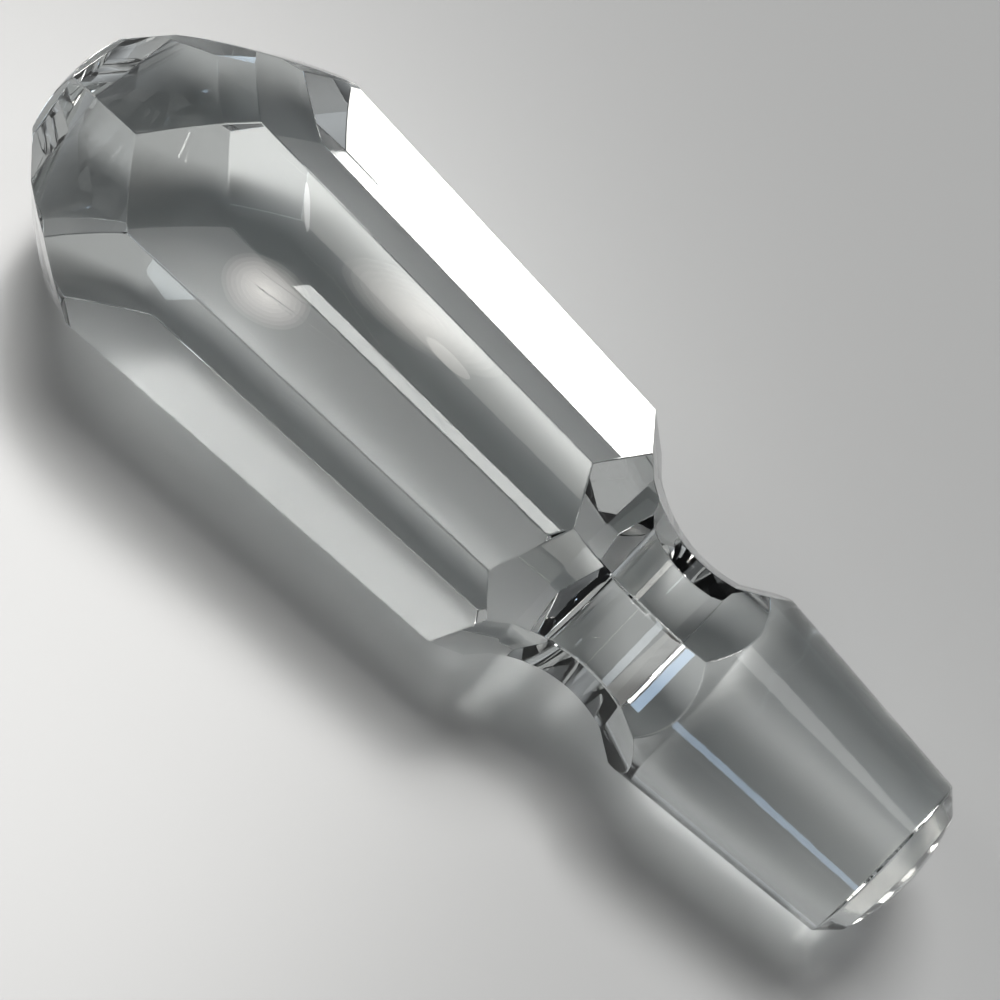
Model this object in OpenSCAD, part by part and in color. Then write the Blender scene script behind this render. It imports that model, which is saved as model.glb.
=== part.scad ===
// Cut glass decanter stopper: one solid piece of clear glass.
//
// A round blank is cut flat on a wheel into a seven-sided tapering head with a
// faceted crown, a faceted shoulder and a fluted neck. Below the neck the blank
// stays round and is ground to the taper of a decanter's mouth.
//
// The stopper can't stand by itself. It is placed as it comes to rest, lying on
// one flat panel of its head, with the crown towards -X and the plug towards +X.

/* [Head] */
// Number of panels round the head, and of facets and flutes in every other ring
sides = 7; // [6:1:9]
// Radius over the corners at the crown end of the panels
head_top_r = 17.9; // [15.5:0.1:21.5]
// Radius over the corners at the shoulder end of the panels
head_bottom_r = 15.4; // [13.5:0.1:17.5]
// Length of the corner edges between the crown and the shoulder
head_len = 43; // [35:0.5:60]

/* [Crown] */
// Height of the crown above the upper corners of the panels
crown_h = 18.5; // [16.5:0.1:22.5]
// Depth of the crease between the two rings of crown facets, from the top
crease_drop = 5.8; // [5:0.1:7.5]
// Distance of the crease from the axis, at the middle of a facet
crease_reach = 10.9; // [9.5:0.1:12.5]
// Radius of the slight doming of the lower crown facets
facet_dome_r = 60; // [45:1:200]
// Distance of the edge of the dome on top from the axis, at the middle of a facet
cap_reach = 6.2; // [5.2:0.1:7.2]
// Depth of the edge of the dome on top, at the middle of a facet
cap_drop = 1.15; // [0.8:0.05:1.5]
// How far the crown is cut off centre, towards the upper panel
crown_off_front = 0.1; // [0:0.05:0.6]
// How far the crown is cut off centre, sideways
crown_off_side = 0.85; // [0:0.05:1.2]

/* [Shoulder and neck] */
// Turn of the shoulder, neck and collar rings against the head
ring_turn = 5.5; // [-10:0.5:10]
// Angle between the shoulder facets and the axis
shoulder_angle = 45; // [40:0.5:50]
// Height of the shoulder facets, from the lower corners of the panels to the flutes
shoulder_h = 4.6; // [3.8:0.1:5.6]
// Length from the lower corners of the panels to the foot of the flutes
neck_len = 16.8; // [14:0.1:20.2]
// Distance of a flute's floor from the axis at the waist
waist_reach = 8.2; // [7.2:0.1:9.2]
// Height of the waist above the foot of the flutes
waist_up = 4; // [3:0.1:5]
// Height of the collar facets, from the foot of the flutes to the ground taper
collar_h = 2.8; // [2.3:0.1:3.6]

/* [Plug] */
// Length of the ground taper
plug_len = 24.1; // [18:0.1:32]
// Radius at the top of the ground taper
plug_top_r = 11.5; // [10.8:0.1:12]
// Radius at the foot of the ground taper
plug_bottom_r = 9.3; // [8:0.1:10.4]
// Width and height of the bevel round the end
end_bevel = 1.9; // [1:0.1:2.6]
// Height of the shallow dome on the end
end_dome_h = 1.4; // [0.6:0.1:2.4]

/* [Hidden] */
$fn = 96;

// Half the angle between two panels, and the share of the corner radius left at a panel's middle
half_step = 180 / sides;
mid_share = cos(half_step);

// Heights of the rings above the tip of the plug
z_taper_foot = end_dome_h + end_bevel;
z_taper_top = z_taper_foot + plug_len;
z_flute_foot = z_taper_top + collar_h;
z_waist = z_flute_foot + waist_up;
z_shoulder = z_flute_foot + neck_len;
z_crown = z_shoulder + head_len;
z_top = z_crown + crown_h;
z_crease = z_top - crease_drop;

// Lean of the upper crown facets, radius of the dome on top, and how far down it cuts
top_facet_angle = atan((crease_reach - cap_reach) / (crease_drop - cap_drop));
cap_r = (cap_reach * cap_reach + cap_drop * cap_drop) / (2 * cap_drop);
cap_zone = (crease_drop + cap_drop) / 2;

// Lean of the panels, which taper towards the shoulder, and of the ground taper
panel_angle = atan((head_top_r - head_bottom_r) * mid_share / head_len);
plug_slope = (plug_top_r - plug_bottom_r) / plug_len;

// Sizes of the stock and of the wheel's face, larger than anything they cut
stock_spare = 2;
stock_r = head_top_r + stock_spare;
wheel = 2 * (z_top + stock_r);

// Where a shoulder facet meets its flute
shoulder_reach = head_bottom_r * cos(ring_turn);
meet_reach = shoulder_reach - shoulder_h * tan(shoulder_angle);
z_meet = z_shoulder - shoulder_h;

// Radius of a flute, which is upright at the waist and runs up to its shoulder facet
flute_depth = meet_reach - waist_reach;
flute_r = (pow(flute_depth, 2) + pow(z_meet - z_waist, 2)) / (2 * flute_depth);
flute_centre = waist_reach + flute_r;

// Distance of a flute's floor from the axis at a height within the flute
function flute_reach(z) = flute_centre - sqrt(flute_r * flute_r - pow(z - z_waist, 2));

// Lean of the collar facets, whose corners end on the ground taper
foot_reach = flute_reach(z_flute_foot);
collar_angle = atan((plug_top_r * mid_share - foot_reach) / collar_h);

// How far the neck's stock runs on inside a faceted ring that starts at reach and z:
// to the middle of the stretch where the ring's facets still cover the flutes
function lap(reach, z, lean) =
    cos(lean) * max(0, (flute_centre - reach) * sin(lean) - abs(z - z_waist) * cos(lean));
z_neck_top = z_meet + min(lap(meet_reach, z_meet, shoulder_angle), shoulder_h / 2);
z_neck_foot = z_flute_foot - min(lap(foot_reach, z_flute_foot, collar_angle), collar_h);
neck_stock_r = max(flute_reach(z_neck_top), flute_reach(z_neck_foot)) / mid_share + stock_spare;

// Radius of the dome on the plug's end
end_r = plug_bottom_r - end_bevel;
end_dome_r = (end_r * end_r + end_dome_h * end_dome_h) / (2 * end_dome_h);

// Centre of the arc that domes a lower crown facet, found from its two ends
low_facet = [head_top_r, z_crown];
high_facet = [crease_reach, z_crease];
chord = high_facet - low_facet;
arc_back = sqrt(facet_dome_r * facet_dome_r - chord * chord / 4);
arc_in = [-chord[1], chord[0]] / norm(chord);
arc_centre = (low_facet + high_facet) / 2 + arc_back * arc_in;

// Turns copies of the children round the axis and keeps what they share,
// so that each copy shapes one face of a ring
module faces(turn) {
    intersection_for (i = [0 : sides - 1])
        rotate([0, 0, turn + i * 2 * half_step]) children();
}

// Everything inside a flat face that passes reach from the axis at height z.
// A positive lean makes the face look upwards.
module flat_block(reach, z, lean) {
    translate([reach, 0, z]) rotate([0, -lean, 0])
        translate([-wheel, -wheel / 2, -wheel / 2]) cube(wheel);
}

// Everything inside a lower crown facet, which is domed along its length
module domed_block() {
    translate([arc_centre[0], 0, arc_centre[1]]) rotate([90, 0, 0])
        linear_extrude(wheel, center = true) {
            circle(r = facet_dome_r);
            translate([-facet_dome_r, -wheel]) square([2 * facet_dome_r, wheel]);
        }
}

// Everything inside the two rings of crown facets and the polished dome on top
module crown_block() {
    difference() {
        faces(half_step) intersection() {
            flat_block(crease_reach, z_crease, top_facet_angle);
            domed_block();
        }
        difference() {
            translate([0, 0, z_top - cap_zone]) cylinder(r = stock_r, h = stock_r);
            translate([0, 0, z_top - cap_r]) sphere(r = cap_r);
        }
    }
}

// The head, down to the point where the shoulder facets would meet inside the neck
module head() {
    intersection() {
        cylinder(r = stock_r, h = z_top + stock_spare);
        faces(0) flat_block(head_bottom_r * mid_share, z_shoulder, -panel_angle);
        faces(half_step + ring_turn) flat_block(shoulder_reach, z_shoulder, -shoulder_angle);
        translate([crown_off_front, -crown_off_side, 0]) crown_block();
    }
}

// Everything inside a flute, which is hollowed by the round rim of a wheel
module fluted_block() {
    translate([flute_centre, 0, z_waist]) rotate([90, 0, 0])
        linear_extrude(wheel, center = true)
            difference() {
                translate([-wheel, -wheel / 2]) square(wheel);
                circle(r = flute_r);
            }
}

// The neck, with a flute under each shoulder facet
module neck() {
    intersection() {
        translate([0, 0, z_neck_foot]) cylinder(r = neck_stock_r, h = z_neck_top - z_neck_foot);
        faces(half_step + ring_turn) fluted_block();
    }
}

// The round plug, with the collar facets that lead down from the flutes
module plug() {
    intersection() {
        rotate_extrude()
            polygon([
                [0, 0],
                [end_r - end_dome_h, 0],
                [plug_bottom_r, z_taper_foot],
                [plug_bottom_r + plug_slope * (z_waist - z_taper_foot), z_waist],
                [0, z_waist]
            ]);
        faces(half_step + ring_turn) flat_block(foot_reach, z_flute_foot, collar_angle);
        union() {
            translate([0, 0, end_dome_r]) sphere(r = end_dome_r);
            translate([0, 0, end_dome_r]) cylinder(r = end_dome_r, h = wheel);
        }
    }
}

// Lays the upright stopper down on a panel, with the middle of its length over the origin
module lay_down() {
    lift = head_bottom_r * mid_share * cos(panel_angle) - z_shoulder * sin(panel_angle);
    translate([z_top * cos(panel_angle) / 2, 0, lift])
        rotate([0, panel_angle - 90, 0]) rotate([0, 0, -half_step])
            children();
}

module stopper() {
    color([0.86, 0.9, 0.9, 0.5]) lay_down() {
        head();
        neck();
        plug();
    }
}

stopper();
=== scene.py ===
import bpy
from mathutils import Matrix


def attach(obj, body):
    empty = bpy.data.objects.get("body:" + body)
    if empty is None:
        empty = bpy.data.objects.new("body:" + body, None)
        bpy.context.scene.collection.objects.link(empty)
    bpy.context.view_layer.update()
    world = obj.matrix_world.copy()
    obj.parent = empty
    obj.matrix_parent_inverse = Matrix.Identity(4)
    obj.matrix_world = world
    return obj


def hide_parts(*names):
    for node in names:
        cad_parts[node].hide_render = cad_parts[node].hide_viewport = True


bl_info = {
    "name": "Cut Glass Stopper",
    "version": (1, 0, 0),
    "blender": (4, 5, 0),
    "location": "View3D > Sidebar > Stopper",
    "description": "Cuts a seven-sided decanter stopper of clear glass and lays it in a studio",
    "category": "Object",
}

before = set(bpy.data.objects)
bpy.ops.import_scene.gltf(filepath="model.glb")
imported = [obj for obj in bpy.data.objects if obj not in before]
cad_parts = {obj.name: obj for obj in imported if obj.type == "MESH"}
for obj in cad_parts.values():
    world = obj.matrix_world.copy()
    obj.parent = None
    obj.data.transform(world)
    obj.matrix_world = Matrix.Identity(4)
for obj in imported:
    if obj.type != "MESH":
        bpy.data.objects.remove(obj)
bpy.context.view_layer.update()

import math
from types import SimpleNamespace

import bpy
from bpy.props import (
    FloatProperty,
    FloatVectorProperty,
    IntProperty,
    PointerProperty,
)
from mathutils import Euler, Matrix, Vector

MM = 0.001

# How many faces stand for each round shape
STOCK_STEPS = 48
ROUND_STEPS = 192
CAP_RINGS = 128
END_RINGS = 192
FLUTE_STEPS = 256
DOMING_STEPS = 720
FLOOR_STEPS = 96

# Stock left for cutting: over the head's radius, past each end of the neck and below the plug's tip
STOCK_SHARE = 1.1
NECK_LAP_SHARE = 0.25
TIP_SPARE = 1 * MM

# How close counts as the same: in height, to the ground taper and to another point
SAME_HEIGHT = 0.001 * MM
ON_TAPER = 0.05 * MM
WELD = 0.005 * MM

# Faces that turn less than the first make one facet, and edges that turn more than the second
# are rounded
FLAT_WITHIN = math.radians(0.002)
SHARP_ABOVE = math.radians(5)

# A stopper with fewer faces than this has lost some of its facets
FEWEST_FACES = 50

# Fine scratches: the turn and the squash of each set, where they show and how rough they are
SCRATCH_SETS = ((0.4, 0.06), (1.7, 0.09), (2.6, 0.05))
SCRATCHED_ABOVE = 0.6
SCRATCH_ROUGHNESS = 0.15

SENSOR_WIDTH_MM = 36


# ---------------------------------------------------------------- settings


def length(name, description, value):
    """A size in millimetres, kept in metres."""
    return FloatProperty(
        name=name,
        description=description,
        default=value * MM,
        min=0,
        precision=5,
        unit="LENGTH",
    )


def angle(name, description, value):
    """An angle given in degrees."""
    return FloatProperty(
        name=name,
        description=description,
        default=math.radians(value),
        subtype="ANGLE",
        unit="ROTATION",
    )


class StopperHead(bpy.types.PropertyGroup):
    """Sizes of the head and its crown."""

    sides: IntProperty(
        name="Sides",
        description="Panels round the head, and faces in every other ring",
        default=7,
        min=6,
        max=9,
    )
    top_radius: length("Top radius", "Over the corners, at the crown end of the panels", 17.9)
    bottom_radius: length("Bottom radius", "Over the corners, at the shoulder end", 15.4)
    panel_length: length("Panel length", "From the crown to the shoulder", 43)
    crown_height: length("Crown height", "From the panels' upper corners to the top", 18.5)
    crease_drop: length("Crease drop", "From the top down to the crease in the crown", 5.8)
    crease_reach: length("Crease reach", "From the axis out to the crease", 10.9)
    doming: length("Doming radius", "Of the lower crown facets, along their length", 60)
    cap_reach: length("Cap reach", "From the axis out to the edge of the polished dome", 6.2)
    cap_drop: length("Cap drop", "From the top down to the edge of the polished dome", 1.15)
    off_front: length("Off centre, front", "How far the crown is cut off centre, upwards", 0.1)
    off_side: length("Off centre, side", "How far the crown is cut off centre, sideways", 0.85)


class StopperNeck(bpy.types.PropertyGroup):
    """Sizes of the shoulder, the neck and the collar."""

    ring_turn: angle("Ring turn", "Turn of the neck's rings against the head", 5.5)
    shoulder_angle: angle("Shoulder angle", "Between the shoulder facets and the axis", 45)
    shoulder_height: length("Shoulder height", "From the panels down to the flutes", 4.6)
    neck_length: length("Neck length", "From the panels down to the foot of the flutes", 16.8)
    waist_reach: length("Waist reach", "From the axis to a flute's floor at the waist", 8.2)
    waist_up: length("Waist height", "Of the waist above the foot of the flutes", 4)
    collar_height: length("Collar height", "From the flutes down to the ground taper", 2.8)


class StopperPlug(bpy.types.PropertyGroup):
    """Sizes of the ground plug."""

    taper_length: length("Taper length", "Of the ground taper", 24.1)
    top_radius: length("Top radius", "At the top of the ground taper", 11.5)
    bottom_radius: length("Bottom radius", "At the foot of the ground taper", 9.3)
    end_bevel: length("End bevel", "Width and height of the bevel round the end", 1.9)
    end_dome: length("End dome", "Height of the shallow dome on the end", 1.4)


class StopperFinish(bpy.types.PropertyGroup):
    """How the glass is cut, polished and ground."""

    edge_width: length("Edge width", "Of the tiny rounding on every cut edge", 0.12)
    glass_colour: FloatVectorProperty(
        name="Glass colour",
        description="Tint that light takes at each pass through the surface",
        subtype="COLOR",
        size=3,
        default=(0.86, 0.885, 0.875),
        min=0,
        max=1,
    )
    ior: FloatProperty(
        name="Refractive index",
        description="How strongly the glass bends light",
        default=1.54,
        min=1.3,
        max=1.8,
    )


class StopperStage(bpy.types.PropertyGroup):
    """Floor, lamps and camera."""

    floor_colour: FloatVectorProperty(
        name="Floor colour",
        description="Of the plain pale floor",
        subtype="COLOR",
        size=3,
        default=(0.44, 0.447, 0.45),
        min=0,
        max=1,
    )
    floor_width: length("Floor width", "Across the round floor", 3000)
    main_strength: FloatProperty(
        name="Main lamp",
        description="Strength of the broad lamp high behind the stopper",
        default=2.4,
        min=0,
    )
    camera_place: FloatVectorProperty(
        name="Camera place",
        description="Where the camera stands",
        subtype="TRANSLATION",
        unit="LENGTH",
        size=3,
        precision=5,
        default=(0.039098, -0.141077, 0.276535),
    )
    camera_turn: FloatVectorProperty(
        name="Camera turn",
        description="How the camera is turned",
        subtype="EULER",
        unit="ROTATION",
        size=3,
        default=tuple(math.radians(a) for a in (25.5212, -13.9732, 41.4309)),
    )
    lens: FloatProperty(
        name="Lens",
        description="Focal length in millimetres on a 36 mm sensor",
        default=115.756,
        min=20,
        subtype="DISTANCE_CAMERA",
    )


SETTINGS = {
    "stopper_head": StopperHead,
    "stopper_neck": StopperNeck,
    "stopper_plug": StopperPlug,
    "stopper_finish": StopperFinish,
    "stopper_stage": StopperStage,
}


# ---------------------------------------------------------------- sizes worked out


def cutting_plan(head, neck, plug):
    """Works out every height, reach and lean that the wheels are set to, from the settings."""
    half_step = math.pi / head.sides
    mid = math.cos(half_step)

    # Heights above the tip of the plug
    taper_foot = plug.end_dome + plug.end_bevel
    taper_top = taper_foot + plug.taper_length
    flute_foot = taper_top + neck.collar_height
    waist = flute_foot + neck.waist_up
    shoulder = flute_foot + neck.neck_length
    crown = shoulder + head.panel_length
    top = crown + head.crown_height
    crease = top - head.crease_drop

    # The flutes, which are upright at the waist and run up to the shoulder facets
    shoulder_reach = head.bottom_radius * math.cos(neck.ring_turn)
    meet_reach = shoulder_reach - neck.shoulder_height * math.tan(neck.shoulder_angle)
    meet = shoulder - neck.shoulder_height
    depth = meet_reach - neck.waist_reach
    flute_r = (depth**2 + (meet - waist) ** 2) / (2 * depth)
    flute_centre = neck.waist_reach + flute_r
    foot_reach = flute_centre - math.sqrt(flute_r**2 - neck.waist_up**2)
    collar_lean = math.atan((plug.top_radius * mid - foot_reach) / neck.collar_height)
    neck_top = meet + neck.shoulder_height * NECK_LAP_SHARE
    neck_foot = flute_foot - neck.collar_height * NECK_LAP_SHARE

    # The middle of the arc that domes the lower crown facets
    chord = Vector((head.crease_reach - head.top_radius, crease - crown))
    back = math.sqrt(head.doming**2 - chord.length_squared / 4)
    arc = Vector((head.top_radius, crown)) + chord / 2
    arc += back * Vector((-chord.y, chord.x)).normalized()
    cap_rise = head.crease_drop - head.cap_drop

    end_r = plug.bottom_radius - plug.end_bevel
    slope = (plug.top_radius - plug.bottom_radius) / plug.taper_length
    panel_lean = math.atan((head.top_radius - head.bottom_radius) * mid / head.panel_length)
    return SimpleNamespace(
        sides=head.sides,
        half_step=half_step,
        ring_turn=half_step + neck.ring_turn,
        wheel=2 * (top + head.top_radius),
        stock_r=head.top_radius * STOCK_SHARE,
        top=top,
        panel=(head.bottom_radius * mid, shoulder, -panel_lean),
        panel_lean=panel_lean,
        shoulder=(shoulder_reach, shoulder, -neck.shoulder_angle),
        top_facet=(
            head.crease_reach,
            crease,
            math.atan((head.crease_reach - head.cap_reach) / cap_rise),
        ),
        arc_r=head.doming,
        arc=arc,
        cap_r=(head.cap_reach**2 + head.cap_drop**2) / (2 * head.cap_drop),
        cap_from=top - (head.crease_drop + head.cap_drop) / 2,
        crown_off=(head.off_front, -head.off_side, 0),
        flute_r=flute_r,
        flute_centre=flute_centre,
        waist=waist,
        neck_foot=neck_foot,
        neck_height=neck_top - neck_foot,
        neck_stock_r=(meet_reach + neck.shoulder_height) / mid,
        collar=(foot_reach, flute_foot, collar_lean),
        taper_foot=taper_foot,
        slope=slope,
        taper_r=plug.bottom_radius - slope * taper_foot,
        bevel_r=end_r - plug.end_dome,
        end_dome_r=(end_r**2 + plug.end_dome**2) / (2 * plug.end_dome),
        lift=head.bottom_radius * mid * math.cos(panel_lean) - shoulder * math.sin(panel_lean),
    )


# ---------------------------------------------------------------- node trees


class Tree:
    """Adds nodes to a tree and links them. A value may be a number or another node's output."""

    def __init__(self, tree):
        self.tree = tree

    def link(self, output, socket):
        self.tree.links.new(output, socket)

    def add(self, kind, values=(), **settings):
        node = self.tree.nodes.new(kind)
        for name, setting in settings.items():
            setattr(node, name, setting)
        for key, value in dict(values).items():
            socket = node.inputs[key]
            for one in value if isinstance(value, list) else [value]:
                if isinstance(one, bpy.types.NodeSocket):
                    self.link(one, socket)
                else:
                    socket.default_value = one
        return node

    def math(self, operation, *values):
        return self.add("ShaderNodeMath", enumerate(values), operation=operation).outputs[0]

    def vector(self, **parts):
        """A vector from its X, Y and Z. What isn't given is 0."""
        return self.add("ShaderNodeCombineXYZ", parts).outputs[0]

    def position(self):
        """The X, Y and Z of each point."""
        place = self.add("GeometryNodeInputPosition").outputs[0]
        return self.add("ShaderNodeSeparateXYZ", {0: place}).outputs


GEOMETRY = "NodeSocketGeometry"
MATERIAL = "NodeSocketMaterial"
NUMBER = "NodeSocketFloat"
WHOLE = "NodeSocketInt"
VECTOR = "NodeSocketVector"


def new_group(name, inputs, output):
    """A geometry node group. Returns its tree, its inputs and the socket of its one output."""
    tree = bpy.data.node_groups.new(name, "GeometryNodeTree")
    for label, kind in inputs:
        tree.interface.new_socket(label, in_out="INPUT", socket_type=kind)
    tree.interface.new_socket(output, in_out="OUTPUT", socket_type=GEOMETRY)
    t = Tree(tree)
    return t, t.add("NodeGroupInput").outputs, t.add("NodeGroupOutput").inputs[output]


def ring_group():
    """Turns copies of a block round the axis, one for each side."""
    t, given, out = new_group(
        "Ring of Blocks",
        [("Block", GEOMETRY), ("Sides", WHOLE), ("Turn", NUMBER)],
        "Ring",
    )
    step = t.math("DIVIDE", 2 * math.pi, given["Sides"])
    number = t.add("GeometryNodeInputIndex").outputs[0]
    turn = t.math("MULTIPLY_ADD", number, step, given["Turn"])
    places = t.add("GeometryNodeMeshLine", {"Count": given["Sides"], "Offset": (0, 0, 0)})
    copies = t.add(
        "GeometryNodeInstanceOnPoints",
        {
            "Points": places.outputs[0],
            "Instance": given["Block"],
            "Rotation": t.vector(Z=turn),
        },
    )
    t.link(copies.outputs[0], out)
    return t.tree


def flat_group():
    """Everything inside a flat face that passes Reach from the axis at Height.

    A lean above 0 makes the face look up.
    """
    t, given, out = new_group(
        "Flat Block",
        [("Wheel", NUMBER), ("Reach", NUMBER), ("Height", NUMBER), ("Lean", NUMBER)],
        "Block",
    )
    wheel = given["Wheel"]
    cube = t.add("GeometryNodeMeshCube", {"Size": t.vector(X=wheel, Y=wheel, Z=wheel)})
    inwards = t.vector(X=t.math("MULTIPLY", wheel, -0.5))
    face = t.add(
        "GeometryNodeTransform",
        {"Geometry": cube.outputs[0], "Translation": inwards},
    )
    set_up = t.add(
        "GeometryNodeTransform",
        {
            "Geometry": face.outputs[0],
            "Translation": t.vector(X=given["Reach"], Z=given["Height"]),
            "Rotation": t.vector(Y=t.math("MULTIPLY", given["Lean"], -1.0)),
        },
    )
    t.link(set_up.outputs[0], out)
    return t.tree


def drum_group():
    """A drum whose axis lies across the stopper's, at Reach and Height."""
    t, given, out = new_group(
        "Drum",
        [
            ("Radius", NUMBER),
            ("Width", NUMBER),
            ("Reach", NUMBER),
            ("Height", NUMBER),
            ("Steps", WHOLE),
        ],
        "Drum",
    )
    drum = t.add(
        "GeometryNodeMeshCylinder",
        {"Vertices": given["Steps"], "Radius": given["Radius"], "Depth": given["Width"]},
    )
    set_up = t.add(
        "GeometryNodeTransform",
        {
            "Geometry": drum.outputs["Mesh"],
            "Translation": t.vector(X=given["Reach"], Z=given["Height"]),
            "Rotation": (math.pi / 2, 0, 0),
        },
    )
    t.link(set_up.outputs[0], out)
    return t.tree


def stopper_group():
    """The whole stopper: a head, a neck and a plug cut by rings of faces, laid on a panel."""
    names = [
        "Sides", "Half Step", "Ring Turn", "Wheel", "Stock Radius", "Top",
        "Panel Reach", "Panel Height", "Panel Lean",
        "Shoulder Reach", "Shoulder Height", "Shoulder Lean",
        "Top Facet Reach", "Top Facet Height", "Top Facet Lean",
        "Arc Radius", "Arc Reach", "Arc Height",
        "Cap Radius", "Cap From", "Flute Radius", "Flute Reach", "Waist",
        "Neck Foot", "Neck Height", "Neck Stock Radius",
        "Collar Reach", "Collar Height", "Collar Lean",
        "Taper Radius", "Taper Slope", "Taper Foot", "Bevel Radius", "End Dome Radius",
    ]
    kinds = [(name, WHOLE if name == "Sides" else NUMBER) for name in names]
    kinds += [(name, VECTOR) for name in ("Crown Off Centre", "Laid Place", "Laid Turn")]
    kinds += [(name, MATERIAL) for name in ("Polished", "Ground")]
    t, given, out = new_group("Cut Glass Stopper", kinds, "Stopper")
    ring_tree, flat_tree, drum_tree = ring_group(), flat_group(), drum_group()

    def ring(block, turn):
        values = {"Block": block, "Sides": given["Sides"], "Turn": turn}
        return t.add("GeometryNodeGroup", node_tree=ring_tree, values=values).outputs[0]

    def flat(face):
        values = {part: given[f"{face} {part}"] for part in ("Reach", "Height", "Lean")}
        values["Wheel"] = given["Wheel"]
        return t.add("GeometryNodeGroup", node_tree=flat_tree, values=values).outputs[0]

    def drum(radius, reach, height, steps):
        values = {
            "Radius": radius,
            "Width": given["Wheel"],
            "Reach": reach,
            "Height": height,
            "Steps": steps,
        }
        return t.add("GeometryNodeGroup", node_tree=drum_tree, values=values).outputs[0]

    def moved(geometry, place):
        values = {"Geometry": geometry, "Translation": place}
        return t.add("GeometryNodeTransform", values).outputs[0]

    def cylinder(radius, foot, height):
        values = {"Vertices": STOCK_STEPS, "Radius": radius, "Depth": height}
        node = t.add("GeometryNodeMeshCylinder", values)
        middle = t.math("MULTIPLY_ADD", height, 0.5, foot)
        return moved(node.outputs["Mesh"], t.vector(Z=middle))

    def cone(radius, slope):
        """A cone with this radius at the plug's tip. It starts a little way below the tip."""
        foot_radius = t.math("SUBTRACT", radius, t.math("MULTIPLY", slope, TIP_SPARE))
        height = t.math("ADD", given["Waist"], TIP_SPARE)
        values = {
            "Vertices": ROUND_STEPS,
            "Radius Top": t.math("MULTIPLY_ADD", height, slope, foot_radius),
            "Radius Bottom": foot_radius,
            "Depth": height,
        }
        node = t.add("GeometryNodeMeshCone", values)
        return moved(node.outputs["Mesh"], t.vector(Z=-TIP_SPARE))

    def ball(radius, height, rings):
        values = {"Segments": ROUND_STEPS, "Rings": rings, "Radius": radius}
        node = t.add("GeometryNodeMeshUVSphere", values)
        return moved(node.outputs["Mesh"], t.vector(Z=height))

    def stretched(geometry, height, side):
        """Moves what lies above the height up by the wheel's width, or down what lies below it."""
        beyond = t.math("MULTIPLY", t.math("SUBTRACT", t.position()["Z"], height), side)
        values = {
            "Geometry": geometry,
            "Selection": t.math("GREATER_THAN", beyond, SAME_HEIGHT),
            "Offset": t.vector(Z=t.math("MULTIPLY", given["Wheel"], side)),
        }
        return t.add("GeometryNodeSetPosition", values).outputs[0]

    def joined(operation, values):
        settings = {"operation": operation, "solver": "MANIFOLD"}
        return t.add("GeometryNodeMeshBoolean", values, **settings).outputs[0]

    def shared(*parts):
        return joined("INTERSECT", {1: list(parts)})

    def cut(block, tool):
        return joined("DIFFERENCE", {0: block, 1: tool})

    # The head: a round stock inside its rings of panels, shoulder facets and crown facets
    arc = drum(given["Arc Radius"], given["Arc Reach"], given["Arc Height"], DOMING_STEPS)
    domed = stretched(arc, given["Arc Height"], -1.0)
    off = given["Crown Off Centre"]
    head = shared(
        cylinder(given["Stock Radius"], 0.0, given["Wheel"]),
        ring(flat("Panel"), 0.0),
        ring(flat("Shoulder"), given["Ring Turn"]),
        moved(ring(flat("Top Facet"), given["Half Step"]), off),
        moved(ring(domed, given["Half Step"]), off),
    )
    cap_height = t.math("SUBTRACT", given["Top"], given["Cap Radius"])
    sphere = ball(given["Cap Radius"], cap_height, CAP_RINGS)
    above_cap = cut(
        cylinder(given["Stock Radius"], given["Cap From"], given["Stock Radius"]), sphere
    )
    head = cut(head, moved(above_cap, off))

    # The neck: a round stock hollowed by a ring of flutes
    flute = drum(given["Flute Radius"], given["Flute Reach"], given["Waist"], FLUTE_STEPS)
    neck = cut(
        cylinder(given["Neck Stock Radius"], given["Neck Foot"], given["Neck Height"]),
        ring(flute, given["Ring Turn"]),
    )

    # The plug: two cones, a shallow dome on the end and a ring of collar facets
    end = ball(given["End Dome Radius"], given["End Dome Radius"], END_RINGS)
    plug = shared(
        cone(given["Taper Radius"], given["Taper Slope"]),
        cone(given["Bevel Radius"], 1.0),
        stretched(end, given["End Dome Radius"], 1.0),
        ring(flat("Collar"), given["Ring Turn"]),
    )
    glass = joined("UNION", {1: [head, neck, plug]})
    welded = t.add("GeometryNodeMergeByDistance", {"Geometry": glass, "Distance": WELD})

    # The ground taper is every face that still lies on the taper's cone
    xyz = t.position()
    across = t.vector(X=xyz["X"], Y=xyz["Y"])
    reach = t.add("ShaderNodeVectorMath", {0: across}, operation="LENGTH").outputs["Value"]
    cone_reach = t.math("MULTIPLY_ADD", xyz["Z"], given["Taper Slope"], given["Taper Radius"])
    off_cone = t.math("ABSOLUTE", t.math("SUBTRACT", reach, cone_reach))
    near = t.math("LESS_THAN", off_cone, ON_TAPER)
    above = t.math("GREATER_THAN", xyz["Z"], given["Taper Foot"])
    below = t.math("LESS_THAN", xyz["Z"], given["Collar Height"])
    ground = t.math("MULTIPLY", near, t.math("MULTIPLY", above, below))
    kept = t.add(
        "GeometryNodeCaptureAttribute", {"Geometry": welded.outputs[0]}, domain="FACE"
    )
    kept.capture_items.new("FLOAT", "Ground Faces")
    t.link(ground, kept.inputs["Ground Faces"])

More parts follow.
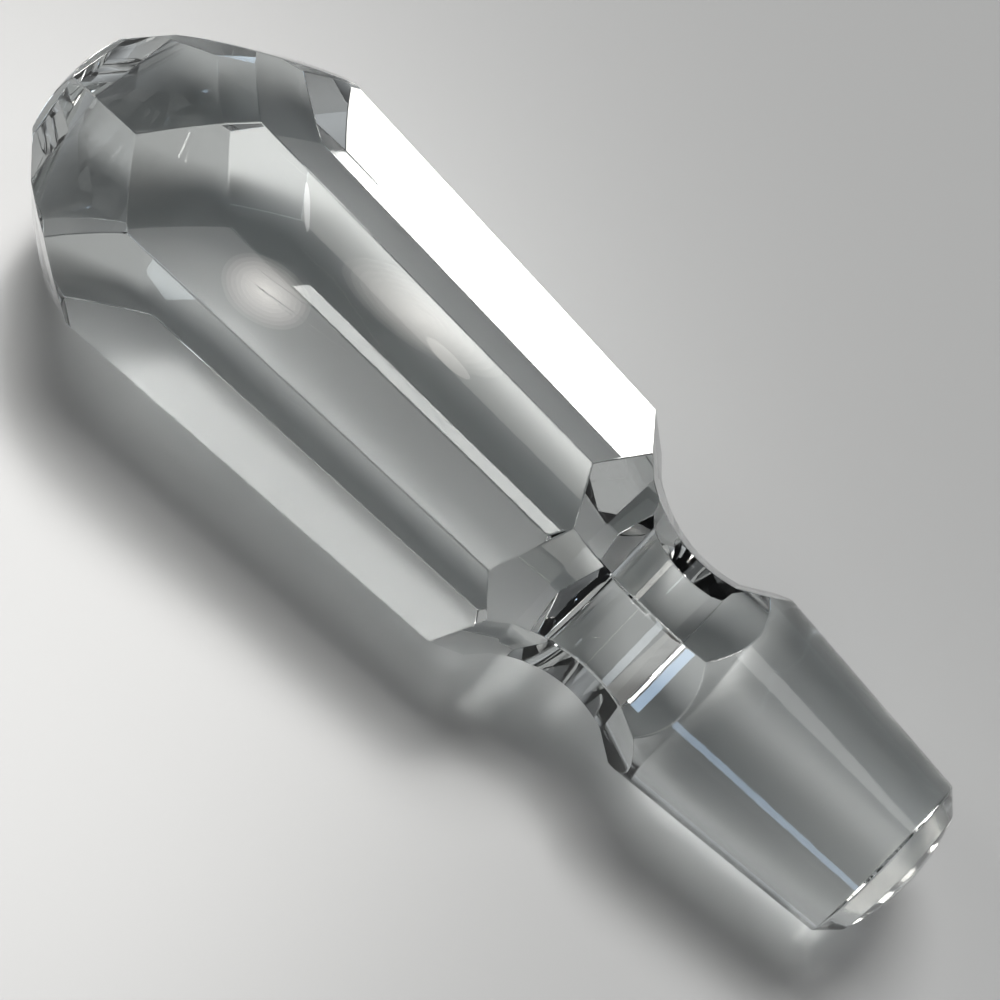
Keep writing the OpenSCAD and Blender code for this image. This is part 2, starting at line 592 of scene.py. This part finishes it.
    laid = t.add(
        "GeometryNodeTransform",
        {
            "Geometry": kept.outputs["Geometry"],
            "Translation": given["Laid Place"],
            "Rotation": given["Laid Turn"],
        },
    )
    smooth = t.add("GeometryNodeSetShadeSmooth", {"Geometry": laid.outputs[0]})
    real = t.add("GeometryNodeRealizeInstances", {"Geometry": smooth.outputs[0]})
    polished = t.add(
        "GeometryNodeSetMaterial",
        {"Geometry": real.outputs[0], "Material": given["Polished"]},
    )
    finished = t.add(
        "GeometryNodeSetMaterial",
        {
            "Geometry": polished.outputs[0],
            "Selection": kept.outputs["Ground Faces"],
            "Material": given["Ground"],
        },
    )
    t.link(finished.outputs[0], out)
    return t.tree


def run_tree(tree, name, values):
    """Runs a tree on an empty object and keeps the result as a plain mesh object."""
    host = bpy.data.objects.new(name, bpy.data.meshes.new(name))
    bpy.context.scene.collection.objects.link(host)
    modifier = host.modifiers.new("Maker", "NODES")
    modifier.node_group = tree
    for socket in tree.interface.items_tree:
        if socket.in_out == "INPUT":
            modifier[socket.identifier] = values[socket.name]
    bpy.context.view_layer.update()
    evaluated = host.evaluated_get(bpy.context.evaluated_depsgraph_get())
    made = bpy.data.meshes.new_from_object(evaluated)
    host.modifiers.remove(modifier)
    host.data = made
    return host


# ---------------------------------------------------------------- finishes


def scratch_group():
    """Fine scratches that run every way, and a second mask of long streaks along X."""
    tree = bpy.data.node_groups.new("Fine Scratches", "ShaderNodeTree")
    inputs = (("Vector", VECTOR), ("Scale", NUMBER), ("Width", NUMBER), ("Streak Scale", NUMBER))
    for label, kind in inputs:
        tree.interface.new_socket(label, in_out="INPUT", socket_type=kind)
    for label in ("Scratches", "Streaks"):
        tree.interface.new_socket(label, in_out="OUTPUT", socket_type=NUMBER)
    t = Tree(tree)
    given = t.add("NodeGroupInput").outputs
    out = t.add("NodeGroupOutput").inputs
    masks = []
    for turn, squash in SCRATCH_SETS:
        turned = t.add(
            "ShaderNodeMapping",
            {
                "Vector": given["Vector"],
                "Rotation": (0.3, 0.2, turn),
                "Scale": (squash, 1.0, 1.0),
            },
        )
        cells = t.add(
            "ShaderNodeTexVoronoi",
            {"Vector": turned.outputs[0], "Scale": given["Scale"], "Randomness": 1.0},
            feature="DISTANCE_TO_EDGE",
        )
        masks.append(t.math("LESS_THAN", cells.outputs["Distance"], given["Width"]))
    scratches = t.math("MAXIMUM", masks[0], t.math("MAXIMUM", masks[1], masks[2]))
    patches = t.add(
        "ShaderNodeTexNoise", {"Vector": given["Vector"], "Scale": 90.0, "Detail": 2.0}
    )
    chosen = t.math("GREATER_THAN", patches.outputs[0], SCRATCHED_ABOVE)
    t.link(t.math("MULTIPLY", scratches, chosen), out["Scratches"])
    drawn = t.add("ShaderNodeMapping", {"Vector": given["Vector"], "Scale": (0.05, 1.0, 1.0)})
    streaks = t.add(
        "ShaderNodeTexNoise",
        {
            "Vector": drawn.outputs[0],
            "Scale": given["Streak Scale"],
            "Detail": 4.0,
            "Roughness": 0.6,
        },
    )
    t.link(streaks.outputs[0], out["Streaks"])
    return tree


def glass_material(name, finish, scratches, roughness, wave, streak_height, streak_rough):
    """Clear glass. Its own scratches, ripples and streaks break up an otherwise even polish."""
    material = bpy.data.materials.new(name)
    material.use_nodes = True
    material.node_tree.nodes.clear()
    t = Tree(material.node_tree)
    place = t.add("ShaderNodeTexCoord").outputs["Object"]
    marks = t.add(
        "ShaderNodeGroup",
        node_tree=scratches,
        values={"Vector": place, "Scale": 160.0, "Width": 0.0025, "Streak Scale": 900.0},
    ).outputs
    ripple = t.add("ShaderNodeTexNoise", {"Vector": place, "Scale": 55.0, "Detail": 1.0})
    height = t.math("MULTIPLY", ripple.outputs[0], wave)
    height = t.math("MULTIPLY_ADD", marks["Streaks"], streak_height, height)
    bump = t.add("ShaderNodeBump", {"Height": height, "Strength": 1.0, "Distance": MM})
    rough = t.math("MULTIPLY_ADD", marks["Streaks"], streak_rough, roughness)
    rough = t.math("MULTIPLY_ADD", marks["Scratches"], SCRATCH_ROUGHNESS, rough)
    shader = t.add(
        "ShaderNodeBsdfPrincipled",
        {
            "Base Color": (*finish.glass_colour, 1),
            "Roughness": rough,
            "IOR": finish.ior,
            "Transmission Weight": 1.0,
            "Metallic": 0.0,
            "Normal": bump.outputs[0],
        },
    )
    t.add("ShaderNodeOutputMaterial", {"Surface": shader.outputs[0]})
    return material


# ---------------------------------------------------------------- the stopper


def laid_turn(plan):
    """The turn that lays the upright stopper down on a panel."""
    upright = Euler((0, 0, -plan.half_step)).to_matrix()
    tip = Euler((0, plan.panel_lean - math.pi / 2, 0)).to_matrix()
    return tuple((tip @ upright).to_euler())


class STOPPER_OT_glass(bpy.types.Operator):
    """Cut the stopper and give it its polished and ground finishes"""

    bl_idname = "stopper.glass"
    bl_label = "Cut Stopper"

    def execute(self, context):
        scene = context.scene
        finish = scene.stopper_finish
        plan = cutting_plan(scene.stopper_head, scene.stopper_neck, scene.stopper_plug)
        scratches = scratch_group()
        polished = glass_material(
            "polished_glass",
            finish,
            scratches,
            roughness=0.0,
            wave=0.02,
            streak_height=0.0,
            streak_rough=0.0,
        )
        ground = glass_material(
            "ground_glass",
            finish,
            scratches,
            roughness=0.02,
            wave=0.02,
            streak_height=0.006,
            streak_rough=0.1,
        )
        values = {
            "Sides": plan.sides,
            "Half Step": plan.half_step,
            "Ring Turn": plan.ring_turn,
            "Wheel": plan.wheel,
            "Stock Radius": plan.stock_r,
            "Top": plan.top,
            "Arc Radius": plan.arc_r,
            "Arc Reach": plan.arc.x,
            "Arc Height": plan.arc.y,
            "Cap Radius": plan.cap_r,
            "Cap From": plan.cap_from,
            "Flute Radius": plan.flute_r,
            "Flute Reach": plan.flute_centre,
            "Waist": plan.waist,
            "Neck Foot": plan.neck_foot,
            "Neck Height": plan.neck_height,
            "Neck Stock Radius": plan.neck_stock_r,
            "Taper Radius": plan.taper_r,
            "Taper Slope": plan.slope,
            "Taper Foot": plan.taper_foot,
            "Bevel Radius": plan.bevel_r,
            "End Dome Radius": plan.end_dome_r,
            "Crown Off Centre": plan.crown_off,
            "Laid Place": (plan.top * math.cos(plan.panel_lean) / 2, 0, plan.lift),
            "Laid Turn": laid_turn(plan),
            "Polished": polished,
            "Ground": ground,
        }
        for face, setting in (
            ("Panel", plan.panel),
            ("Shoulder", plan.shoulder),
            ("Top Facet", plan.top_facet),
            ("Collar", plan.collar),
        ):
            for part, value in zip(("Reach", "Height", "Lean"), setting):
                values[f"{face} {part}"] = value
        stopper = run_tree(stopper_group(), "cut_glass_stopper", values)
        if len(stopper.data.polygons) < FEWEST_FACES:
            raise RuntimeError("the stopper came out without its facets")

        facets = stopper.modifiers.new("Facets", "DECIMATE")
        facets.decimate_type = "DISSOLVE"
        facets.angle_limit = FLAT_WITHIN
        edges = stopper.modifiers.new("Edges", "BEVEL")
        edges.limit_method = "ANGLE"
        edges.angle_limit = SHARP_ABOVE
        edges.width = finish.edge_width
        edges.segments = 2
        edges.harden_normals = True
        edges.use_clamp_overlap = False

        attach(stopper, "root")
        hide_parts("stopper")
        return {"FINISHED"}


# ---------------------------------------------------------------- the stage


WARM = (1.0, 0.96, 0.91)
COOL = (0.86, 0.94, 1.0)
BLUE = (0.55, 0.75, 1.0)
WHITE = (1.0, 1.0, 1.0)

OVAL = "ELLIPSE"
BAR = "RECTANGLE"

# Every soft lamp: name, shape, its two ends, its width, its brightness and its colour
SOFT_LAMPS = (
    # Low in front: it fills the panel that looks away from the camera with light
    ("side_lamp", OVAL, (-0.7073, -0.475, 0.2439), (-0.0578, -0.85, 0.2439), 0.3, 1.6, WARM),
    # High at the far side: a pale band along the plug
    ("far_lamp", OVAL, (0.3129, 0.242, 0.8322), (0.0531, 0.392, 0.8322), 0.3, 1.8, WHITE),
    # Upright in front: thin bright lines on the panels' edges, and a pale side to the plug
    ("edge_lamp", BAR, (-0.1528, -0.8668, 0.1663), (-0.0792, -0.4492, 0.7894), 0.08, 5.0, COOL),
    # Low in front: a soft streak along the plug
    ("plug_lamp", OVAL, (0.1284, -0.8656, 0.2429), (0.3216, -0.8138, 0.2429), 0.12, 4.0, BLUE),
    # Off the crown's end: bright glints in the bevel round the end of the plug
    ("bevel_lamp", BAR, (-0.6627, -0.1348, 0.6122), (-0.5943, -0.3227, 0.6122), 0.2, 8.0, WARM),
    # A blue band and a white line on the collar below the neck
    ("collar_band", BAR, (-0.7034, -0.5215, 0.1451), (-0.7072, -0.505, 0.1691), 0.0037, 9.0, BLUE),
    ("collar_line", BAR, (-0.7053, -0.5198, 0.1437), (-0.7093, -0.5033, 0.1674), 0.0012, 24, WHITE),
    # Small reflections in the panel that faces the camera, beside the clouds below
    ("short_streak", OVAL, (0.0137, -0.344, 0.8624), (0.036, -0.3446, 0.8609), 0.005, 2.2, WARM),
    ("short_line", OVAL, (-0.0582, -0.3355, 0.8677), (-0.0456, -0.3468, 0.8628), 0.002, 4.0, WHITE),
)

# Two cloudy reflections in the same panel: name, two ends, width, brightness and colour
CLOUDS = (
    ("patch", (-0.0585, -0.3742, 0.8508), (-0.0249, -0.3688, 0.8529), 0.024, 8.5, WARM),
    ("streak", (-0.0292, -0.3455, 0.8631), (0.042, -0.3353, 0.8644), 0.022, 6.0, WARM),
)

# A cloud is made of layers, each nearer to the stopper than the last by this share
CLOUD_LAYERS = 9
LAYER_GAP = 0.001

# These hang low and light the glass only, so that they leave no glare on the floor
GLASS_ONLY = ("side_lamp", "edge_lamp", "plug_lamp")

# The point in the head that every soft lamp looks at
AIM = (-0.01, -0.005, 0.025)

# The broad lamp high behind the stopper, like a bright window in the roof
MAIN_WIDTH = math.radians(27)
MAIN_COLOUR = (1.0, 0.985, 0.965)
MAIN_DIRECTION = (0.288, -0.288, -0.914)


def soft_lamp(name, shape, start, end, width, brightness, colour):
    """A soft lamp between two points that looks at the stopper."""
    start, end = Vector(start), Vector(end)
    place = (start + end) / 2
    along = (end - start).normalized()
    back = place - Vector(AIM)
    back = (back - along * back.dot(along)).normalized()
    lamp = bpy.data.lights.new(name, "AREA")
    lamp.shape = shape
    lamp.size = (end - start).length
    lamp.size_y = width
    lamp.color = colour
    lamp.energy = brightness * math.pi * lamp.size * width
    shown = bpy.data.objects.new(name, lamp)
    shown.matrix_world = Matrix((along, back.cross(along), back)).transposed().to_4x4()
    shown.location = place
    bpy.context.scene.collection.objects.link(shown)
    return shown


def cloud(name, start, end, width, brightness, colour):
    """A lamp that fades towards its rim, made of layers that shrink towards its middle."""
    start, end = Vector(start), Vector(end)
    for layer in range(CLOUD_LAYERS):
        left = 1 - layer / CLOUD_LAYERS
        half = (end - start) / 2 * left
        middle = (start + end) / 2 * (1 - layer * LAYER_GAP)
        ends = (middle - half, middle + half)
        share = brightness / CLOUD_LAYERS
        soft_lamp(f"{name}_{layer + 1}", OVAL, *ends, width * left, share, colour)


def main_lamp(strength):
    """The broad lamp that lights the floor and the stopper."""
    lamp = bpy.data.lights.new("main_lamp", "SUN")
    lamp.angle = MAIN_WIDTH
    lamp.energy = strength
    lamp.color = MAIN_COLOUR
    shown = bpy.data.objects.new("main_lamp", lamp)
    shown.rotation_euler = Vector(MAIN_DIRECTION).to_track_quat("-Z", "Y").to_euler()
    bpy.context.scene.collection.objects.link(shown)


def studio_floor(stage):
    """A plain pale round floor with a satin finish."""
    mesh = bpy.data.meshes.new("studio_floor")
    radius = stage.floor_width / 2
    around = [2 * math.pi * i / FLOOR_STEPS for i in range(FLOOR_STEPS)]
    rim = [(radius * math.cos(a), radius * math.sin(a), 0) for a in around]
    mesh.from_pydata(rim, [], [list(range(FLOOR_STEPS))])
    floor = bpy.data.objects.new("studio_floor", mesh)
    bpy.context.scene.collection.objects.link(floor)
    paint = bpy.data.materials.new("pale_floor")
    paint.use_nodes = True
    shader = paint.node_tree.nodes["Principled BSDF"]
    shader.inputs["Base Color"].default_value = (*stage.floor_colour, 1)
    shader.inputs["Roughness"].default_value = 0.24
    shader.inputs["Specular IOR Level"].default_value = 0.5
    floor.data.materials.append(paint)
    return floor


def studio_world():
    """A cool room that is bright low down and dark overhead."""
    world = bpy.data.worlds.new("studio")
    bpy.context.scene.world = world
    world.use_nodes = True
    world.node_tree.nodes.clear()
    t = Tree(world.node_tree)
    direction = t.add("ShaderNodeTexCoord").outputs["Generated"]
    up = t.add("ShaderNodeSeparateXYZ", {0: direction}).outputs["Z"]
    fade = t.add(
        "ShaderNodeMapRange",
        {"Value": up, "From Min": 0.02, "From Max": 0.35, "To Min": 0.52, "To Max": 0.08},
    )
    room = t.add(
        "ShaderNodeBackground",
        {"Color": (0.94, 0.97, 1.0, 1.0), "Strength": fade.outputs[0]},
    )
    t.add("ShaderNodeOutputWorld", {"Surface": room.outputs[0]})


def studio_camera(stage):
    """The camera at its set place."""
    lens = bpy.data.cameras.new("camera")
    lens.lens = stage.lens
    lens.sensor_width = SENSOR_WIDTH_MM
    lens.clip_start = 10 * MM
    camera = bpy.data.objects.new("camera", lens)
    camera.location = stage.camera_place
    camera.rotation_euler = stage.camera_turn
    bpy.context.scene.collection.objects.link(camera)
    bpy.context.scene.camera = camera


class STOPPER_OT_stage(bpy.types.Operator):
    """Lay a pale floor, hang soft lamps and set up the camera"""

    bl_idname = "stopper.stage"
    bl_label = "Set Up Stage"

    def execute(self, context):
        stage = context.scene.stopper_stage
        floor = studio_floor(stage)
        studio_world()

        main_lamp(stage.main_strength)
        left_out = bpy.data.collections.new("left_out_by_low_lamps")
        left_out.objects.link(floor)
        left_out.collection_objects[0].light_linking.link_state = "EXCLUDE"
        for lamp in SOFT_LAMPS:
            shown = soft_lamp(*lamp)
            if shown.name in GLASS_ONLY:
                shown.light_linking.receiver_collection = left_out
        for layers in CLOUDS:
            cloud(*layers)

        studio_camera(stage)
        context.scene.view_settings.view_transform = "Standard"
        return {"FINISHED"}


# ---------------------------------------------------------------- the add-on


class STOPPER_PT_panel(bpy.types.Panel):
    """Sizes, finish and stage of the stopper"""

    bl_idname = "STOPPER_PT_panel"
    bl_label = "Cut Glass Stopper"
    bl_space_type = "VIEW_3D"
    bl_region_type = "UI"
    bl_category = "Stopper"

    def draw(self, context):
        for name, settings in SETTINGS.items():
            box = self.layout.box()
            box.label(text=settings.__doc__)
            for prop in settings.__annotations__:
                box.prop(getattr(context.scene, name), prop)
        self.layout.operator(STOPPER_OT_glass.bl_idname)
        self.layout.operator(STOPPER_OT_stage.bl_idname)


CLASSES = (*SETTINGS.values(), STOPPER_OT_glass, STOPPER_OT_stage, STOPPER_PT_panel)


def register():
    for cls in CLASSES:
        bpy.utils.register_class(cls)
    for name, settings in SETTINGS.items():
        setattr(bpy.types.Scene, name, PointerProperty(type=settings))


def unregister():
    for name in SETTINGS:
        delattr(bpy.types.Scene, name)
    for cls in reversed(CLASSES):
        bpy.utils.unregister_class(cls)


def main():
    register()
    bpy.ops.stopper.glass()
    bpy.ops.stopper.stage()


if __name__ == "__main__":
    main()
